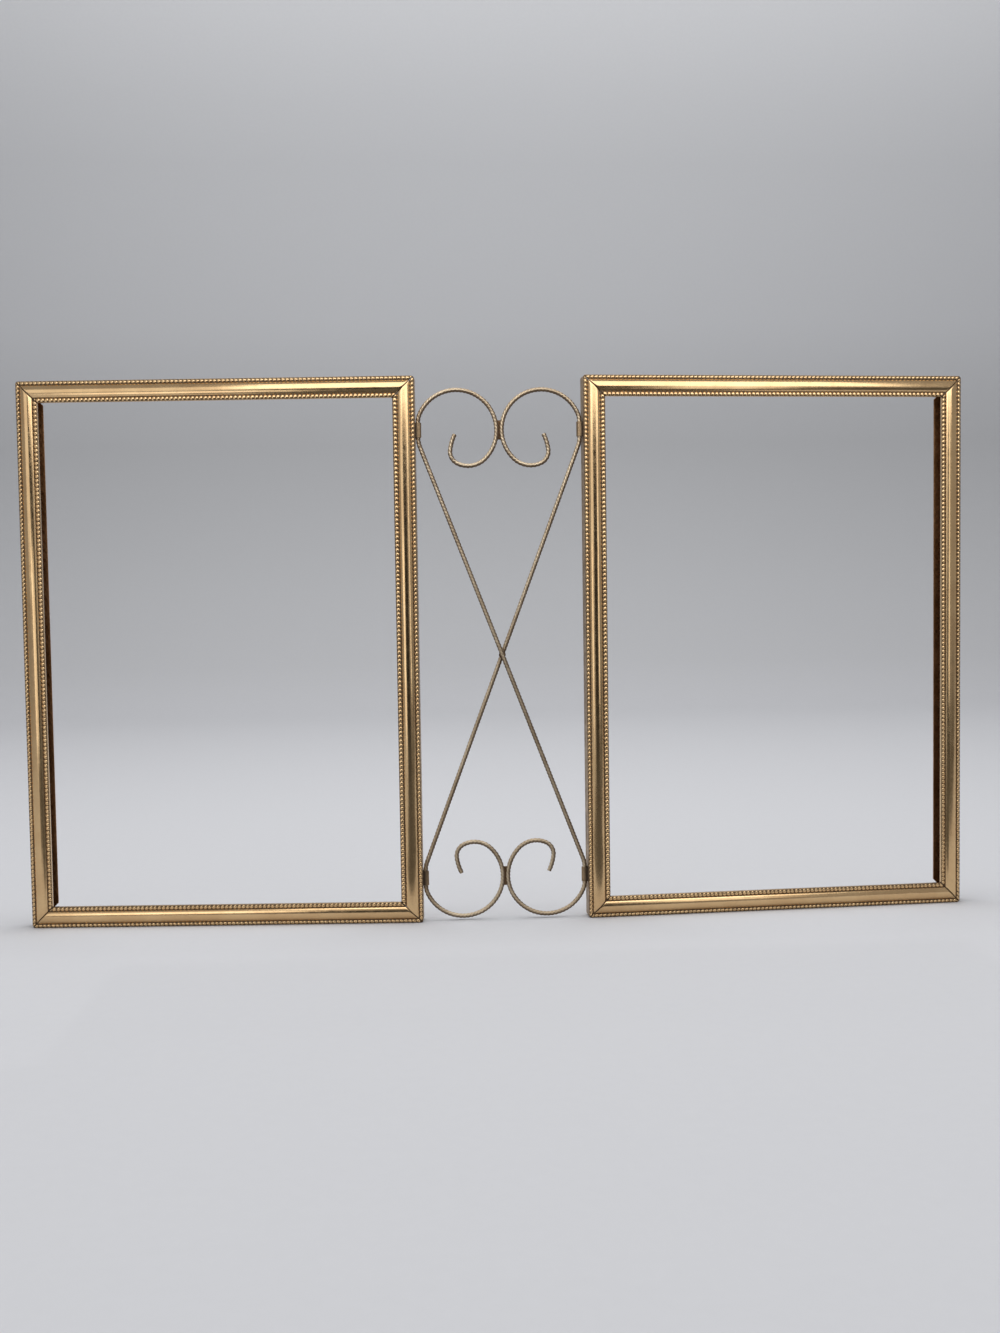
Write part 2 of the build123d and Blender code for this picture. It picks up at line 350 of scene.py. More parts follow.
def cross_2d(a, b, c):
    """Twice the signed area of a triangle of the section, in u and v."""
    return (b[2] - a[2]) * (c[1] - a[1]) - (c[2] - a[2]) * (b[1] - a[1])


def rounded_corner(s, u, length):
    """Draws the outer corners of the frame in to a small round."""
    r = CORNER_ROUND
    at_end = s > length / 2
    near = length - s if at_end else s
    if near < r and u < r:
        a, b = r - near, r - u
        scale = max(a, b) / max(math.hypot(a, b), 1e-9)
        near, u = r - a * scale, r - b * scale
    return (length - near if at_end else near), u


def dot_rise(s, u):
    """How far the flange's dots stand up here, 0 between them."""
    for row, offset in FLANGE_DOT_ROWS:
        k = round(s / FLANGE_DOT_PITCH - offset)
        away = math.hypot(u - row, s - (k + offset) * FLANGE_DOT_PITCH)
        if away < FLANGE_DOT_RADIUS:
            return FLANGE_DOT_RISE * (1 - (away / FLANGE_DOT_RADIUS) ** 2)
    return 0.0


class Rail:
    """One mitred rail. s runs along its outer edge; u and v are those of its section."""

    def __init__(self, length, columns, seed, dents):
        self.length, self.columns, self.seed, self.dents = length, columns, seed, dents
        self.beads = {
            "outer_bead": Beads(length, EDGE_LAND, OUTER_BEAD, BEAD_SLANT, seed * 17 + 1),
            "inner_bead": Beads(length, INNER_START, INNER_BEAD, INNER_BEAD_SLANT, seed * 17 + 2),
        }

    def places_along(self, column):
        """Where the column has points: close to both mitres, and on its own rows between."""
        u = column.u
        if column.kind in self.beads:
            rows = self.beads[column.kind].rows(u)
            ends, clear = NEAR_MITRE[:2], BEAD_CLEARANCE
        else:
            pitch = ROW_PITCHES[column.kind]
            rows = [k * pitch for k in range(int(self.length / pitch) + 2)]
            ends, clear = NEAR_MITRE, NEAR_MITRE[-1] + ROW_CLEARANCE
        low, high = u + MITRE_GAP, self.length - u - MITRE_GAP
        places = [low + e for e in ends]
        places += [s for s in rows if low + ends[-1] + clear < s < high - ends[-1] - clear]
        return places + [high - e for e in reversed(ends)]

    def shape(self, column, s):
        """The height v of the column at s, and how dark it is there, soil and painted shade."""
        v, recess = column.v, column.recess
        if column.kind in self.beads:
            full = self.beads[column.kind].fullness(s, column.u)
            v += BEAD_RISE * full - BEAD_FOOT_DROP * (1 - full)
            # Painted shade in the gaps between beads; near the outer edge the edge's painted shade is
            # the least.
            recess = 1 - smooth((full - BEAD_SHADE_FULLNESS) / BEAD_SHADE_REACH)
            recess = max(recess, column.least_recess)
        elif column.kind == "flange":
            rise = dot_rise(s, column.u)
            v += rise
            # The dots are left bright on the dark flange: a painted glint on each.
            if rise > 0:
                recess = 0.0
        if v > FRAME_DEPTH - FACE_REACH and column.kind != "back":
            return self.worn(s, column.u, v, recess)
        return v, recess

    def worn(self, s, u, v, recess):
        """The face with the seam of its mitres, its lean, its waves and its dents."""
        from_mitre = min(s - u, self.length - u - s)
        if from_mitre < MITRE_DROP_REACH:
            v -= MITRE_DROP * (1 - from_mitre / MITRE_DROP_REACH) ** 2
            recess = max(recess, MITRE_SOIL - MITRE_SOIL * from_mitre / MITRE_DROP_REACH)
        from_middle = u - FACE_WIDTH / 2
        v += from_middle * FACE_LEAN - FACE_SINK
        v -= FACE_WAVE + FACE_WAVE * wander(s, FACE_WAVE_LENGTH, self.seed)
        v -= abs(from_middle) * FACE_FALL
        v += (u - DOME_MIDDLE) * FACE_TWIST * wander(s, FACE_TWIST_LENGTH, self.seed + 50)
        for at, across, reach, depth in self.dents:
            away = math.hypot((s - at) / reach, (u - across) / reach)
            v -= depth * math.exp(-away * away * 2)
        return v, recess

    def mesh(self):
        """Points (s, v, u), faces, face slots and how dark each point is, soil and painted shade."""
        points, recess, lines, places = [], [], [], []
        for column in self.columns:
            places.append(self.places_along(column))
            lines.append(range(len(points), len(points) + len(places[-1])))
            for s in places[-1]:
                v, deep = self.shape(column, s)
                at_s, at_u = rounded_corner(s, column.u, self.length)
                points.append((at_s, v, at_u))
                recess.append(deep)
        faces, slots = [], []
        for k, column in enumerate(self.columns):
            n = (k + 1) % len(self.columns)
            following = self.columns[n]
            if column.inside or following.inside:
                slot = INSIDE
            else:
                slot = WORN_BACK if column.kind == following.kind == "back" else GILT
            strip = fill_between(lines[k], lines[n], places[k], places[n])
            faces += strip
            slots += [slot] * len(strip)
        for end, flip in ((0, False), (-1, True)):
            cap = mitre_cap(points, [line[end] for line in lines], flip)
            faces += cap
            slots += [INSIDE] * len(cap)
        return points, faces, slots, recess


def rail_places():
    """Where a rail drawn as a bottom rail goes, for each rail of the right frame."""
    def turned(angle):
        return Matrix.Rotation(math.radians(angle), 4, "Y")

    return {
        "bottom_rail": Matrix.Identity(4),
        "top_rail": Matrix.Translation((FRAME_WIDTH, 0, FRAME_HEIGHT)) @ turned(180),
        "hinge_side_rail": Matrix.Translation((0, 0, FRAME_HEIGHT)) @ turned(90),
        "outer_side_rail": Matrix.Translation((FRAME_WIDTH, 0, 0)) @ turned(-90),
    }


HINGE_TURN = (
    Matrix.Translation((HINGE_X, CENTRE_SHIFT, 0))
    @ Matrix.Rotation(REST_TURN, 4, "Z")
    @ Matrix.Translation((WALL_OFFSET, 0, 0))
)

# Dents of single rails: place along, place across, reach and depth
DENTS = {
    "right_bottom_rail": [(113.0, 3.6, 1.1, 0.16), (64.0, 2.6, 2.2, 0.04)],
    "right_top_rail": [(10.2, 4.9, 0.9, 0.10), (12.0, 5.0, 0.8, 0.09), (9.0, 4.6, 0.7, 0.06)],
    "left_top_rail": [(118.5, 4.2, 1.2, 0.06), (44.0, 3.0, 3.0, 0.03)],
    "left_bottom_rail": [(30.0, 3.8, 1.4, 0.05)],
    "left_hinge_side_rail": [(96.0, 3.2, 2.5, 0.04), (31.0, 3.9, 1.2, 0.05)],
    "right_hinge_side_rail": [(58.0, 3.0, 2.4, 0.04), (140.0, 4.0, 1.5, 0.04)],
    "right_outer_side_rail": [(83.0, 3.4, 2.0, 0.04)],
    "left_outer_side_rail": [(120.0, 4.1, 1.6, 0.05)],
}


def build_rails(materials):
    """The eight rails. The left frame's are the right frame's mirrored, with other beads."""
    # Each section's last number is the painted shade at its outer edge, darkest on the bottom rails
    # for their contact shadow.
    sections = {
        "bottom_rail": (FRAME_WIDTH, section_columns(FRAME_DEPTH, BOTTOM_RETURN, 1.1)),
        "top_rail": (FRAME_WIDTH, section_columns(TOP_EDGE_TURN, 0, 0.25)),
        "hinge_side_rail": (FRAME_HEIGHT, section_columns(FRAME_DEPTH, BACK_FLANGE, 0.6)),
        "outer_side_rail": (FRAME_HEIGHT, section_columns(FRAME_DEPTH, BACK_FLANGE, 0.3)),
    }
    seed = 0
    for side, body, sign in (("left", "left_frame", -1), ("right", "right_frame", 1)):
        for rail, place in rail_places().items():
            seed += 1
            node = side + "_" + rail
            length, columns = sections[rail]
            points, faces, slots, recess = Rail(length, columns, seed, DENTS[node]).mesh()
            flat = np.array([(s, FRAME_DEPTH / 2 - v, u, 1.0) for s, v, u in points])
            placed = (flat @ np.array((HINGE_TURN @ place).transposed()))[:, :3]
            placed[:, 0] *= sign
            if sign < 0:
                faces = [tuple(reversed(f)) for f in faces]
            values = {
                "recess": recess,
                "along": [p[0] for p in points],
                "across": [p[2] for p in points],
            }
            piece = mesh_piece(
                node + "_beaded", placed.tolist(), faces, materials, slots, values
            )
            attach(piece, body)
            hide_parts(node)


# Scroll wires
# Their path is drawn in the plane of the scroll, x across, y up from its crossing, z forward.
TWIST_PITCH, TWIST_WANDER, TWIST_WANDER_LENGTH = 5.0, 0.35, 11.0
WIRE_STEP, WIRE_SIDES, SQUARENESS = 0.25, 16, 4.0
HALF_SIDE = WIRE_RADIUS * 2 ** (1 / SQUARENESS - 0.5)
END_TAPER, END_TAPER_REACH = 0.16, 0.3
THINNING, THINNING_LENGTH = 0.02, 3.0
# Painted shade on the wire: where it fades out towards the lit sides and over how much, and how dark
# the flats are made.
LIT_START, LIT_REACH, FLAT_DARKENING = 0.3, 0.36, 0.62
TINY = 1e-9


def half_wire_runs():
    """The runs from the crossing to the curl's end as (length, bend), and the strand's lean."""
    top_bend = math.degrees(
        math.acos((HINGE_X - LOOP_X - PIN_TOP_RADIUS) / (LOOP_RADIUS - PIN_TOP_RADIUS))
    )
    pin_top = LOOP_RISE + (LOOP_RADIUS - PIN_TOP_RADIUS) * math.sin(math.radians(top_bend))
    pin_bottom = pin_top - PIN_LENGTH
    bend_x = HINGE_X - PIN_BOTTOM_RADIUS
    lean = math.atan2(bend_x, pin_bottom)
    lean += math.asin(PIN_BOTTOM_RADIUS / math.hypot(bend_x, pin_bottom))
    strand = math.hypot(
        bend_x + PIN_BOTTOM_RADIUS * math.cos(lean), pin_bottom - PIN_BOTTOM_RADIUS * math.sin(lean)
    )
    runs = [(strand, 0.0), (PIN_BOTTOM_RADIUS * lean, 1 / PIN_BOTTOM_RADIUS), (PIN_LENGTH, 0.0)]
    turns = [(PIN_TOP_RADIUS, top_bend), (LOOP_RADIUS, 180 - top_bend + LOOP_OVERRUN)]
    turns += list(zip(CURL_RADII, CURL_TURNS))
    return runs + [(radius * math.radians(turn), 1 / radius) for radius, turn in turns], lean


def crossing_lift(travelled, strand):
    """How far the wire stands forward of the scroll's plane, to pass the other at the crossing."""
    peak = WIRE_RADIUS + CROSSING_GAP / 2
    ramp = strand - STRAND_STRAIGHT
    ease = STRAND_BEND * peak / ramp
    lift = peak * max(0.0, 1 - travelled / ramp)
    if travelled < ease:
        lift -= peak / ramp * (ease - travelled) ** 2 / (2 * ease)
    return lift


def half_wire():
    """Points from the crossing to the upper left curl's end, and how far they are apart."""
    runs, lean = half_wire_runs()
    total = sum(length for length, _ in runs)
    count = round(total / WIRE_STEP)
    step = total / count
    points, heading, x, y, run, used = [], math.pi / 2 + lean, 0.0, 0.0, 0, 0.0
    for k in range(count + 1):
        points.append((x, y, crossing_lift(k * step, runs[0][0])))
        left = step
        while left > TINY and run < len(runs):
            length, bend = runs[run]
            part = min(left, length - used)
            turn = -bend * part
            x += part * math.cos(heading + turn / 2)
            y += part * math.sin(heading + turn / 2)
            heading += turn
            used += part
            left -= part
            if used >= length - TINY:
                run, used = run + 1, 0.0
    return points, step


def painted_wire_light(right, up, forward):
    """Painted light on a side of the wire: fronts and tops lightest, right sides and undersides in
    painted shade.
    """
    return 0.5 * abs(forward) ** 1.5 + 0.62 * up - 0.35 * right


def wire_mesh(seed, sign):
    """A twisted square wire with soft edges. sign is -1 for the one that is mirrored later."""
    upper, step = half_wire()
    lower = [(-x, -y, z) for x, y, z in upper]
    path = [Vector(p) for p in list(reversed(upper)) + lower[1:]]
    last = len(path) - 1
    points, recess, rings = [], [], []
    for k, at in enumerate(path):
        along = (path[min(k + 1, last)] - path[max(k - 1, 0)]).normalized()
        across = along.cross(Vector((0, 0, 1))).normalized()
        up = across.cross(along).normalized()
        travelled = k * step
        twist = 2 * math.pi * travelled / TWIST_PITCH
        twist += TWIST_WANDER * wander(travelled, TWIST_WANDER_LENGTH, seed)
        from_end = min(travelled, last * step - travelled)
        taper = 1 - END_TAPER * (1 - smooth(from_end / END_TAPER_REACH))
        taper -= THINNING * (1 + wander(travelled, THINNING_LENGTH, seed + 9))
        rings.append(list(range(len(points), len(points) + WIRE_SIDES)))
        for j in range(WIRE_SIDES):
            angle = 2 * math.pi * j / WIRE_SIDES
            c, s = abs(math.cos(angle)), abs(math.sin(angle))
            reach = HALF_SIDE / (c**SQUARENESS + s**SQUARENESS) ** (1 / SQUARENESS)
            spun = angle + twist
            offset = across * math.cos(spun) + up * math.sin(spun)
            points.append(at + offset * reach * taper)
            flat = 1 - (reach - HALF_SIDE) / (WIRE_RADIUS - HALF_SIDE)
            # Painted shade: fronts and tops lit, right sides and undersides shaded, and the flats
            # darker.
            lit = painted_wire_light(sign * offset.x, offset.y, offset.z)
            darkening = 1 - smooth((lit - LIT_START) / LIT_REACH)
            recess.append(max(darkening, FLAT_DARKENING * flat))
    return points, tube_faces(rings), recess


def panel_place(x, y, z):
    """A point of the scroll's plane in the row frame; z is forward of the plane."""
    return x, CENTRE_SHIFT - z, PANEL_HEIGHT + y


def build_wires(material):
    for name, node, sign, seed in (
        ("twisted_wire_front", "scroll_wire_front", 1, 21),
        ("twisted_wire_rear", "scroll_wire_rear", -1, 22),
    ):
        points, faces, recess = wire_mesh(seed, sign)
        placed = [panel_place(sign * p.x, p.y, sign * p.z) for p in points]
        piece = mesh_piece(name, placed, faces, [material], None, {"recess": recess}, 60.0)
        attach(piece, "scroll_panel")
        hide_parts(node)


# Brazed joints
def loop_braze_mesh(height, seed):
    """A web of run metal in the narrow between the loops, hollow-faced all round."""
    points, rings = [], []
    levels, sides = 28, 20
    overlap, half_depth, least_depth, waist_share = 0.28, 0.46, 0.02, 0.25
    for k in range(levels + 1):
        t = -1 + 2 * k / levels
        at = BRAZE_HEIGHT / 2 * math.sin(t * math.pi / 2)
        gap = LOOP_X - math.sqrt(LOOP_RADIUS**2 - at**2) - WIRE_RADIUS
        across = gap + overlap + 0.06 * wander(at, 1.7, seed)
        deep = half_depth * math.sqrt(max(1 - t * t, 0.0)) ** 0.7 + least_depth
        deep *= 1 + 0.14 * wander(at, 1.1, seed + 3)
        rings.append(list(range(len(points), len(points) + sides)))
        for j in range(sides):
            angle = 2 * math.pi * j / sides
            c, s = math.cos(angle), math.sin(angle)
            waist = 1 - waist_share * (1 - abs(c)) * smooth(abs(s))
            points.append((across * c, height + at, deep * s * waist))
    return points, tube_faces(rings, turned=True)


def blob_mesh(radius, seed):
    """A drop of run metal, lumpy, flattened where the wires cross."""
    points, faces, rings = [], [], []
    levels, sides = 18, 28
    flattened, lumpiness, lump_scale = (0.92, 0.97, 0.62), 0.07, 1.9
    for k in range(levels + 1):
        polar = math.pi * k / levels
        rim = math.sin(polar)
        ring = []
        for j in range(1 if k in (0, levels) else sides):
            angle = 2 * math.pi * j / sides
            way = Vector((rim * math.cos(angle), math.cos(polar), rim * math.sin(angle)))
            lump = 1 + lumpiness * noise.noise(way * lump_scale + Vector((seed, 0, 0)))
            ring.append(len(points))
            points.append(tuple(w * radius * f * lump for w, f in zip(way, flattened)))
        rings.append(ring)
    for one, two in zip(rings, rings[1:]):
        for j in range(sides):
            n = (j + 1) % sides
            if len(one) == 1:
                faces.append((one[0], two[j], two[n]))
            elif len(two) == 1:
                faces.append((one[j], two[0], one[n]))
            else:
                faces.append((one[j], two[j], two[n], one[n]))
    return points, faces


def build_brazes(material):
    for name, height, seed in (
        ("upper_loop_braze", LOOP_RISE, 31),
        ("lower_loop_braze", -LOOP_RISE, 32),
    ):
        points, faces = loop_braze_mesh(height, seed)
        piece = mesh_piece(name + "_run", [panel_place(*p) for p in points], faces, [material])
        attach(piece, "scroll_panel")
        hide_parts(name)
    points, faces = blob_mesh(CROSSING_BLOB, 33)
    piece = mesh_piece(
        "crossing_braze_run", [panel_place(*p) for p in points], faces, [material]
    )
    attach(piece, "scroll_panel")
    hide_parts("crossing_braze")


# Materials
# Scales of their noise: per metre, and for the lines on the rails per millimetre
CLOUD_SCALE, PATCH_SCALE, FINE_SCALE, SCRATCH_SCALE = 90.0, 420.0, 2600.0, 900.0
LINE_SCALES = (("along", 0.12), ("across", 9.0))
# Where the straps' darkening begins and ends: out from the middle towards the wall, and up, for the
# painted shade on the lower straps
WALL_DARK_START, WALL_DARK_END, SHADE_LOW, SHADE_HIGH = 0.0266, 0.0279, 0.03, 0.15
WORN_EDGE = 0.00006


class Nodes:
    """Short names for adding and joining shader nodes."""

    def __init__(self, tree):
        self.tree = tree
        tree.nodes.clear()

    def add(self, kind, **settings):
        node = self.tree.nodes.new(kind)
        for key, value in settings.items():
            setattr(node, key, value)
        return node

    def link(self, source, target):
        self.tree.links.new(source, target)

    def noise(self, vector, scale, detail=3.0, roughness=0.55):
        node = self.add("ShaderNodeTexNoise")
        node.inputs["Scale"].default_value = scale
        node.inputs["Detail"].default_value = detail
        node.inputs["Roughness"].default_value = roughness
        self.link(vector, node.inputs["Vector"])
        return node.outputs["Fac"]

    def span(self, value, low, high, to_low=0.0, to_high=1.0):
        """Goes smoothly from to_low to to_high as the value goes from low to high."""
        node = self.add("ShaderNodeMapRange", interpolation_type="SMOOTHSTEP")
        limits = {"From Min": low, "From Max": high, "To Min": to_low, "To Max": to_high}
        for key, number in limits.items():
            node.inputs[key].default_value = number
        self.link(value, node.inputs["Value"])
        return node.outputs["Result"]

    def calculate(self, operation, one, two):
        node = self.add("ShaderNodeMath", operation=operation)
        for socket, value in zip(node.inputs, (one, two)):
            if isinstance(value, (int, float)):
                socket.default_value = value
            else:
                self.link(value, socket)
        return node.outputs[0]

    def mix(self, factor, one, two):
        node = self.add("ShaderNodeMix", data_type="RGBA")
        sockets = [s for s in node.inputs if s.type == "RGBA"]
        self.link(factor, node.inputs[0])
        for socket, value in zip(sockets, (one, two)):
            if isinstance(value, tuple):
                socket.default_value = (*value, 1.0)
            else:
                self.link(value, socket)
        return [s for s in node.outputs if s.type == "RGBA"][0]

    def attribute(self, name):
        return self.add("ShaderNodeAttribute", attribute_name=name).outputs["Fac"]

    def bump(self, height, strength, distance, normal=None):
        node = self.add("ShaderNodeBump")
        node.inputs["Strength"].default_value = strength
        node.inputs["Distance"].default_value = distance
        self.link(height, node.inputs["Height"])
        if normal is not None:
            self.link(normal, node.inputs["Normal"])
        return node.outputs["Normal"]


def strap_darkening(n, place):
    """Darkness of a strap: most towards the frame's wall, and painted shade on the lower straps."""
    split = n.add("ShaderNodeSeparateXYZ")
    n.link(place, split.inputs[0])
    side = n.calculate("ABSOLUTE", split.outputs[0], 0.0)
    towards_wall = n.span(side, WALL_DARK_START, WALL_DARK_END, 0.15, 1.0)
    low_down = n.span(split.outputs[2], SHADE_LOW, SHADE_HIGH, 0.35, 0.0)
    return n.calculate("ADD", towards_wall, low_down)


def darker(colour, share):
    return tuple(c * share for c in colour)


def metal(
    name, bright, dull, dark_colour, rough=0.19, darkening_amount=0.9, spots=0.12, grain=0.22,
    drawn_lines=True, strap_darkened=False, shine=1.0,
):
    """Aged metal: bright and dull clouds, dark spots, a darkening, grain and fine lines.

    The darkening is read from the pieces: soil at the mitres and in the hollows, darker creases,
    and painted shade in the gaps between beads, along the rails' outer edges and on the wire's
    right sides and undersides; the flange's dots are left bright as painted glints. For the
    straps it comes from their place instead: darker towards the frame's wall, and painted shade
    on the lower straps. The lines run along the rails, which carry the places for them.
    shine is how metallic the undarkened parts are.
    """
    material = bpy.data.materials.new(name)
    material.use_nodes = True
    n = Nodes(material.node_tree)
    place = n.add("ShaderNodeTexCoord").outputs["Object"]
    recess = strap_darkening(n, place) if strap_darkened else n.attribute("recess")
    cloud = n.noise(place, CLOUD_SCALE, 4.0)
    patch = n.noise(place, PATCH_SCALE, 3.0, 0.6)
    fine = n.noise(place, FINE_SCALE, 2.0)
    colour = n.mix(n.span(cloud, 0.38, 0.62), bright, dull)
    speck = n.span(patch, 0.56, 0.72, 0.0, spots)
    colour = n.mix(speck, colour, darker(dull, 0.55))
    broken = n.calculate("MULTIPLY", recess, n.span(patch, 0.15, 0.6, 0.72, 1.0))
    darkening = n.span(broken, 0.35, 0.95, 0.0, darkening_amount)
    colour = n.mix(darkening, colour, dark_colour)
    shade = n.span(fine, 0.3, 0.7, 0.0, 0.08)
    colour = n.mix(shade, colour, darker(dull, 0.6))
    uneven = n.span(patch, 0.3, 0.75, rough - 0.03, rough + 0.04)
    roughness = n.calculate("ADD", uneven, n.calculate("MULTIPLY", darkening, 0.3))
    if drawn_lines:
        stretched = n.add("ShaderNodeCombineXYZ")
        for axis, (way, scale) in enumerate(LINE_SCALES):
            n.link(n.calculate("MULTIPLY", n.attribute(way), scale), stretched.inputs[axis])
        lines = n.noise(stretched.outputs[0], 1.0, 3.0)
    else:
        lines = n.noise(place, SCRATCH_SCALE, 2.0)
    normal = n.bump(lines, 0.10 * grain, 0.00008)
    normal = n.bump(fine, 0.35 * grain, 0.00006, normal)
    normal = n.bump(patch, 0.25 * grain, 0.00012, normal)
    shader = n.add("ShaderNodeBsdfPrincipled")
    n.link(colour, shader.inputs["Base Color"])
    n.link(roughness, shader.inputs["Roughness"])
    n.link(n.span(darkening, 0.0, 1.0, shine, 0.45), shader.inputs["Metallic"])
    n.link(normal, shader.inputs["Normal"])
    n.link(shader.outputs[0], n.add("ShaderNodeOutputMaterial").inputs[0])
    return material


gilt = metal(
    "gilt_brass_face", (0.745, 0.515, 0.273), (0.69, 0.462, 0.240), (0.050, 0.025, 0.009)
)
inside = metal(
    "dark_channel", (0.42, 0.22, 0.10), (0.30, 0.15, 0.06), (0.11, 0.045, 0.015),
    rough=0.38, darkening_amount=0.9, spots=0.4,
)
wire_metal = metal(
    "gilt_wire_metal", (0.70, 0.565, 0.39), (0.55, 0.425, 0.28), (0.105, 0.062, 0.032),
    rough=0.33, darkening_amount=0.95, spots=0.3, drawn_lines=False, shine=0.62,
)
worn_back = metal(
    "worn_brass_back", (0.52, 0.35, 0.185), (0.36, 0.235, 0.12), (0.060, 0.032, 0.013),
    rough=0.34, spots=0.5, grain=0.9,
)
strap_metal = metal(
    "dark_strap_painted_shade", (0.38, 0.27, 0.165), (0.26, 0.18, 0.105), (0.045, 0.026, 0.014),
    rough=0.4, spots=0.5, grain=1.4, drawn_lines=False, strap_darkened=True,
)
tarnish = metal(
    "tarnished_brass_metal", (0.16, 0.10, 0.055), (0.085, 0.05, 0.027), (0.03, 0.018, 0.01),
    rough=0.45, spots=0.6, grain=1.6, drawn_lines=False,
)
raw = metal(
    "raw_brass_metal", (0.50, 0.33, 0.15), (0.34, 0.21, 0.09), (0.09, 0.05, 0.02),
    rough=0.38, spots=0.6, grain=1.2, drawn_lines=False,
)


def finish_solids(nodes):
    """The corner keys and straps keep their solids, with a material and worn edges."""
    for name, node in nodes.items():
        if "key" in name or "strap" in name:
            node.data.materials.clear()
            node.data.materials.append(raw if "key" in name else strap_metal)
            edge = node.modifiers.new("worn_edges", "BEVEL")
            edge.width = WORN_EDGE
            edge.segments = 2
            edge.limit_method = "ANGLE"
            edge.angle_limit = math.radians(40)


build_rails([gilt, inside, worn_back])
build_wires(wire_metal)
build_brazes(tarnish)
finish_solids(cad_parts)


# Floor and backdrop
def plain_surface(name, tones):
    """A matt surface whose tone changes with height, given as (height, colour) pairs."""
    material = bpy.data.materials.new(name)
    material.use_nodes = True
    n = Nodes(material.node_tree)
    place = n.add("ShaderNodeNewGeometry").outputs["Position"]
    split = n.add("ShaderNodeSeparateXYZ")
    n.link(place, split.inputs[0])
    top = tones[-1][0]
    ramp = n.add("ShaderNodeValToRGB")
    while len(ramp.color_ramp.elements) < len(tones):
        ramp.color_ramp.elements.new(0.5)
    for element, (height, colour) in zip(ramp.color_ramp.elements, tones):
        element.position = height / top
        element.color = (*colour, 1.0)
    n.link(n.calculate("DIVIDE", split.outputs[2], top), ramp.inputs[0])
    grain = n.noise(place, 300.0, 2.0)
    mottled = n.mix(n.span(grain, 0.2, 0.8, 0.0, 0.03), ramp.outputs[0], (0.4, 0.4, 0.42))
    shader = n.add("ShaderNodeBsdfPrincipled")
    n.link(mottled, shader.inputs["Base Color"])
    shader.inputs["Roughness"].default_value = 0.75
    shader.inputs["Specular IOR Level"].default_value = 0.2
    n.link(shader.outputs[0], n.add("ShaderNodeOutputMaterial").inputs[0])
    return material


# Painted light and shade on the sweep: the floor is even, the wall darkens up to about 0.28 m and
# then lightens to near white above.
PAINTED_BACKDROP_TONES = [
    (0.0, (0.664, 0.670, 0.692)),
    (0.04, (0.61, 0.616, 0.632)),
    (0.12, (0.585, 0.592, 0.606)),
    (0.28, (0.52, 0.526, 0.537)),
    (0.42, (0.63, 0.637, 0.652)),
    (0.6, (0.68, 0.688, 0.703)),
    (0.9, (0.95, 0.96, 0.975)),
    (2.4, (0.95, 0.96, 0.975)),
]


def backdrop():
    """A floor that sweeps up into a wall behind the object, in one sheet."""
    front, wall, bend, top, half_width = -2.2, 1.15, 0.35, 2.4, 2.6
    line = [(front, 0.0), (-0.6, 0.0), (0.3, 0.0)]
    steps = 16
    for k in range(steps + 1):
        angle = math.pi / 2 * k / steps
        line.append((wall - bend + bend * math.sin(angle), bend - bend * math.cos(angle)))
    line.append((wall, top))
    points, faces = [], []
    for y, z in line:
        points += [(-half_width, y, z), (half_width, y, z)]
    for k in range(len(line) - 1):
        faces.append((2 * k, 2 * k + 1, 2 * k + 3, 2 * k + 2))
    mesh = bpy.data.meshes.new("sweep")
    mesh.from_pydata(points, [], faces)
    mesh.polygons.foreach_set("use_smooth", [True] * len(mesh.polygons))
    mesh.materials.append(plain_surface("pale_paper_painted_shading", PAINTED_BACKDROP_TONES))
    sheet = bpy.data.objects.new("sweep", mesh)
    bpy.context.scene.collection.objects.link(sheet)


backdrop()


# Light
def area_light(name, at, aim, size, brightness, seen_by="all"):
    """A softbox of that width and height, at one place and aimed at another.

    Its surface is this bright, 1 being white. It lights everything, or only what is
    glossy or diffuse: the metal's reflections, or the matt stage and the metal's darkened parts.
    """
    width, height = size
    lamp = bpy.data.lights.new(name, "AREA")
    lamp.shape = "RECTANGLE"
    lamp.size, lamp.size_y = width, height
    lamp.energy = brightness * width * height * 4
    lamp_object = bpy.data.objects.new(name, lamp)
    lamp_object.location = at
    lamp_object.rotation_mode = "QUATERNION"
    lamp_object.rotation_quaternion = (Vector(aim) - Vector(at)).to_track_quat("-Z", "Y")
    lamp_object.visible_camera = False
    lamp_object.visible_diffuse = seen_by != "glossy"
    lamp_object.visible_glossy = seen_by != "diffuse"
    bpy.context.scene.collection.objects.link(lamp_object)


# Softboxes that show in the metal
for light in (
    ("key_top", (0.043, -0.13, 0.30), (0.043, 0.0, 0.265), (0.335, 0.228), 1.55),
    ("key_left", (-0.155, -0.16, 0.088), (-0.155, 0.0, 0.088), (0.11, 0.088), 0.85),
    ("key_right", (0.1325, -0.16, 0.125), (0.1325, 0.0, 0.125), (0.06, 0.13), 0.85),
    ("left_softbox", (-0.45, -0.48, 0.365), (-0.45, 0.0, 0.365), (0.50, 0.47), 0.52),
):
    area_light(*light, "glossy")
# Soft light on the floor and the backdrop
for light in (
    ("overhead_key", (0.0, 0.02, 0.90), (0.0, 0.0, 0.0), (0.35, 0.25), 7.6, "diffuse"),
    ("overhead_front", (0.0, -0.40, 0.85), (0.0, -0.30, 0.0), (1.2, 0.6), 0.86, "diffuse"),
    ("overhead_back", (0.0, 0.45, 0.80), (0.0, 0.30, 0.0), (1.2, 0.6), 0.42, "all"),
    ("backdrop_wash", (0.14, 0.55, 1.05), (0.14, 1.15, 0.5), (1.4, 0.4), 1.0, "diffuse"),
):
    area_light(*light)


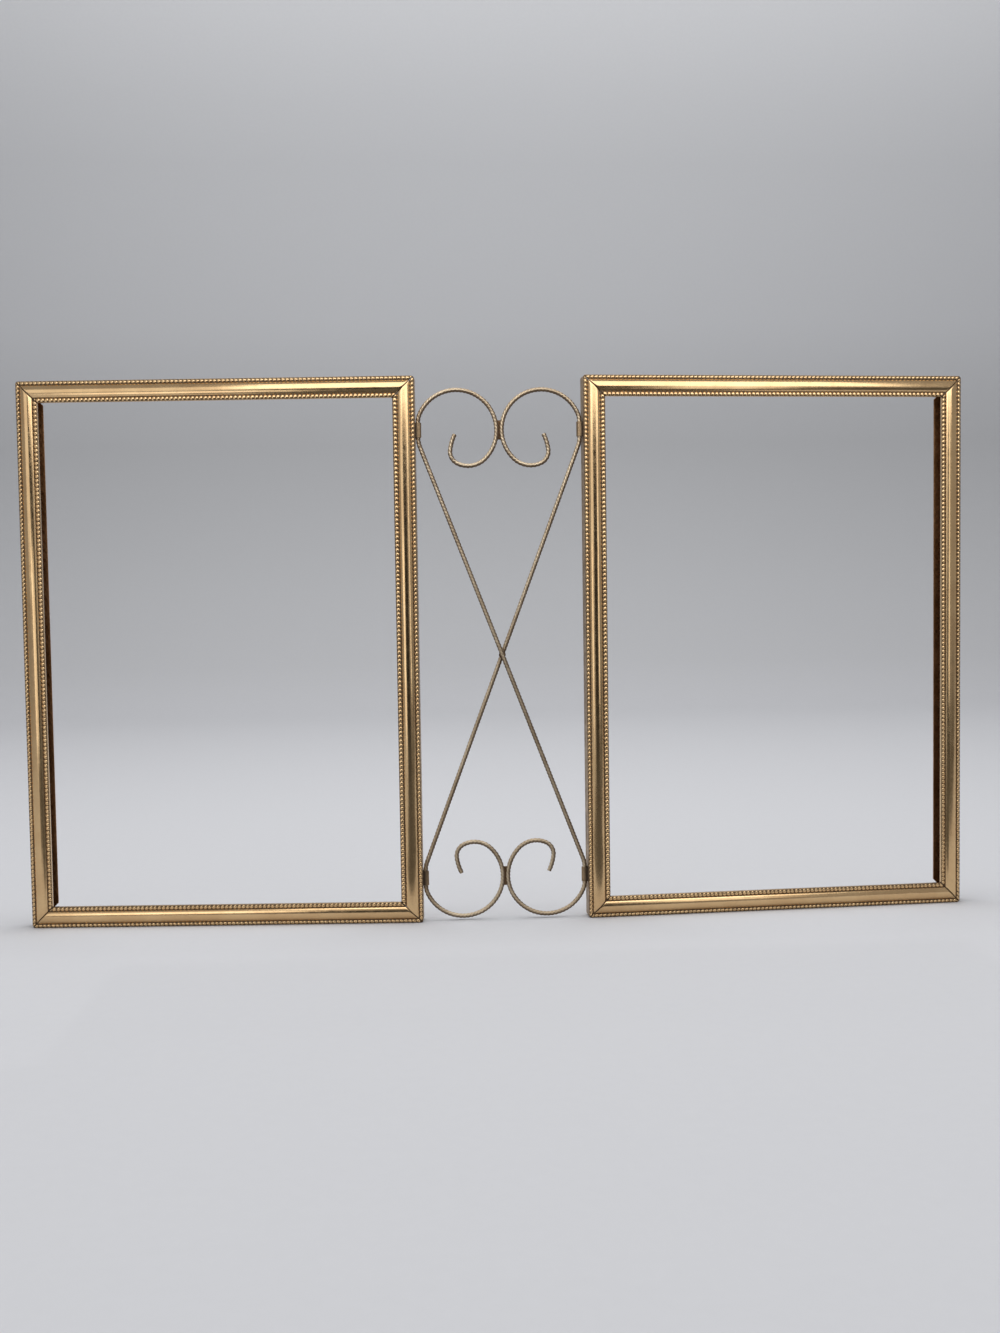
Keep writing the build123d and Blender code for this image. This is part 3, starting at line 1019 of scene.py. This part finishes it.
def reflected_card(name, corners, grey):
    """A dark sheet seen only in the metal, a painted reflection of shade and dark surroundings."""
    mesh = bpy.data.meshes.new(name)
    mesh.from_pydata(corners, [], [(0, 1, 2, 3)])
    mesh.materials.append(plain_surface(name, [(0.0, (grey,) * 3), (1.0, (grey,) * 3)]))
    card = bpy.data.objects.new(name, mesh)
    bpy.context.scene.collection.objects.link(card)
    card.visible_camera = False
    card.visible_diffuse = False
    card.visible_shadow = False


def upright(x_low, x_high, y, z_low, z_high):
    return [(x_low, y, z_low), (x_high, y, z_low), (x_high, y, z_high), (x_low, y, z_high)]


def level(x_low, x_high, y_low, y_high, z):
    return [(x_low, y_low, z), (x_high, y_low, z), (x_high, y_high, z), (x_low, y_high, z)]


# Painted reflections: the dark round the camera, and shadow on the floor in front, far and near.
reflected_card("painted_reflection_camera_dark", upright(-0.19, 0.20, -0.485, 0.0, 0.25), 0.03)
reflected_card("painted_reflection_floor_shadow", level(-0.17, 1.0, -0.80, -0.14, 0.001), 0.11)
reflected_card("painted_reflection_near_floor_shadow", level(-0.12, 0.14, -0.14, -0.05, 0.001), 0.09)


def make_world():
    world = bpy.data.worlds.new("room")
    bpy.context.scene.world = world
    world.use_nodes = True
    n = Nodes(world.node_tree)
    sky = n.add("ShaderNodeBackground")
    sky.inputs["Color"].default_value = (0.36, 0.36, 0.37, 1.0)
    n.link(sky.outputs[0], n.add("ShaderNodeOutputWorld").inputs[0])


make_world()


# Camera
# Solved from the edges of the two frames in the photograph, in millimetres.
IMAGE_HEIGHT, FOCAL_PIXELS, SENSOR = 1333, 1400.0, 36.0
CAMERA_AT = Vector((-28.35, -472.06, 109.85))
CAMERA_RIGHT = Vector((0.9981, -0.0594, -0.0148)).normalized()
CAMERA_FORWARD = Vector((0.0585, 0.9969, -0.0519))


def make_camera():
    forward = (CAMERA_FORWARD - CAMERA_RIGHT * CAMERA_RIGHT.dot(CAMERA_FORWARD)).normalized()
    up = CAMERA_RIGHT.cross(forward)
    data = bpy.data.cameras.new("camera")
    data.sensor_width = SENSOR
    data.lens = FOCAL_PIXELS / IMAGE_HEIGHT * SENSOR
    data.clip_start, data.clip_end = 0.01, 20.0
    camera = bpy.data.objects.new("camera", data)
    turn = Matrix((CAMERA_RIGHT, up, -forward)).transposed().to_4x4()
    camera.matrix_world = Matrix.Translation(CAMERA_AT * MM) @ turn
    bpy.context.scene.collection.objects.link(camera)
    bpy.context.scene.camera = camera


make_camera()
bpy.context.scene.view_settings.view_transform = "Standard"
